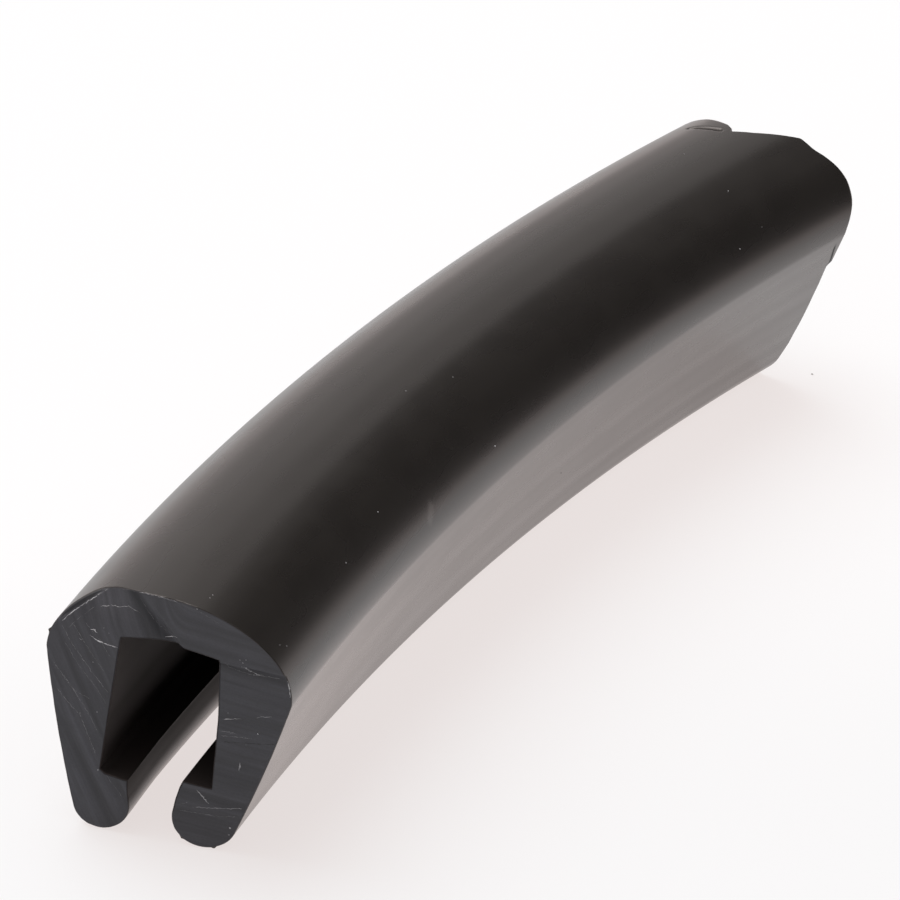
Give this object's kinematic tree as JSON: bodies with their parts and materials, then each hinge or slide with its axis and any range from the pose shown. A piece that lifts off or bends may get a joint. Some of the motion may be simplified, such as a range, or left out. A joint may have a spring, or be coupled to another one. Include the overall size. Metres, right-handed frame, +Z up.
{
  "type": "edge trim seal",
  "caption": "Short curved sample of a solid black rubber C-section edge trim, domed on top, with a square channel that opens between two rounded feet.",
  "frame": {"origin": "centre of the bounding box in plan, at floor level under the two feet", "axes": "+Y along the bar's chord from the square sawn end to the slanted one, +X towards the inside of the bend, +Z up out of the crown"},
  "size_m": [0.0438, 0.2158, 0.0403],
  "materials": {
    "black_rubber": "semi-gloss extruded skin, dull sawn ends"
  },
  "bodies": {
    "root": {"edge_trim_profile": "black_rubber"}
  },
  "joints": []
}
